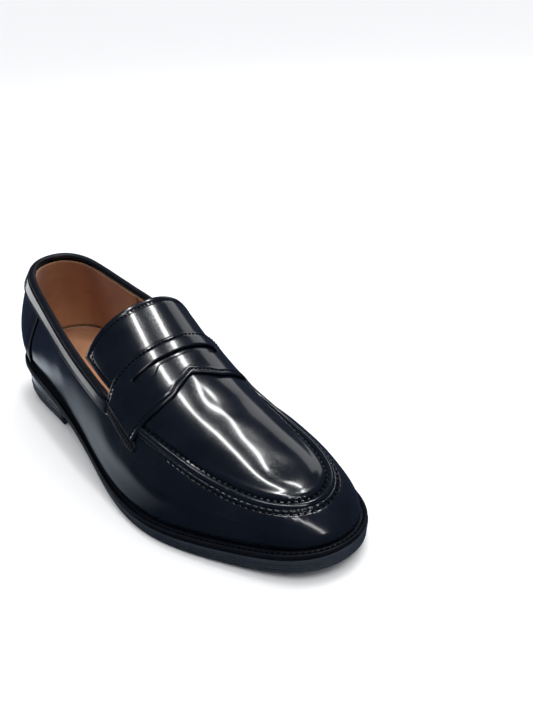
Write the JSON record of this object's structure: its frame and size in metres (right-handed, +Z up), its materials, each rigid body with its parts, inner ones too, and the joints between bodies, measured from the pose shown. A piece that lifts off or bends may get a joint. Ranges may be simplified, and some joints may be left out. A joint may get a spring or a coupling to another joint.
{
  "type": "penny loafer",
  "caption": "Slip-on dress shoe for the right foot: moccasin toe, slotted saddle strap, padded top line, welted sole with a low heel that bends at the ball.",
  "frame": {"origin": "on the ground, in the middle of the shoe's box seen from above", "axes": "+X towards the toe, +Y towards the inner side of the right foot, +Z up from the ground"},
  "size_m": [0.3, 0.1102, 0.0991],
  "materials": {
    "polished_leather": "high-gloss black polished leather",
    "binding_leather": "soft matt black binding leather",
    "lining_leather": "tan calf lining, satin",
    "sole_rubber": "matt black rubber with fine edge lines",
    "heel_stack": "black lacquered leather board, semi-gloss",
    "fibre_board": "bonded leather fibre board",
    "cork": "granulated cork in binder",
    "collar_foam": "thin open-cell foam",
    "thread": "waxed black thread",
    "steel": "plain steel"
  },
  "bodies": {
    "forepart": {"side_wall": "polished_leather", "apron": "polished_leather", "welt": "polished_leather", "apron_seam_ridge": "polished_leather", "vamp_lining": "lining_leather", "sock_lining": "lining_leather", "outsole": "sole_rubber", "insole_board": "fibre_board", "toe_puff": "fibre_board", "cork_filler": "cork", "welt_thread": "thread"},
    "rearpart": {"saddle_strap": "polished_leather", "tongue": "polished_leather", "tongue_lining": "lining_leather", "saddle_seam_outer": "binding_leather", "saddle_seam_inner": "binding_leather", "heel_foxing": "polished_leather", "collar_band": "polished_leather", "topline_binding": "binding_leather", "collar_foam": "collar_foam", "heel_counter": "fibre_board", "heel_lining": "lining_leather", "quarter_lining_outer": "lining_leather", "quarter_lining_inner": "lining_leather", "heel_pad": "lining_leather", "shank": "steel", "heel_base": "heel_stack", "heel_lift": "heel_stack", "top_piece": "sole_rubber", "heel_nail_1": "steel", "heel_nail_2": "steel", "heel_nail_3": "steel", "heel_nail_4": "steel", "heel_nail_5": "steel"}
  },
  "joints": [
    {"name": "ball_flex", "type": "hinge", "parent": "forepart", "child": "rearpart", "pos_m": [0.055, 0, 0.008], "axis": [0, 1, 0], "range_deg": [0, 30], "stiffness_Nm_per_rad": 4, "deforming": ["outsole", "welt", "welt_thread", "insole_board", "sock_lining", "cork_filler", "side_wall", "apron", "apron_seam_ridge", "vamp_lining"]}
  ]
}
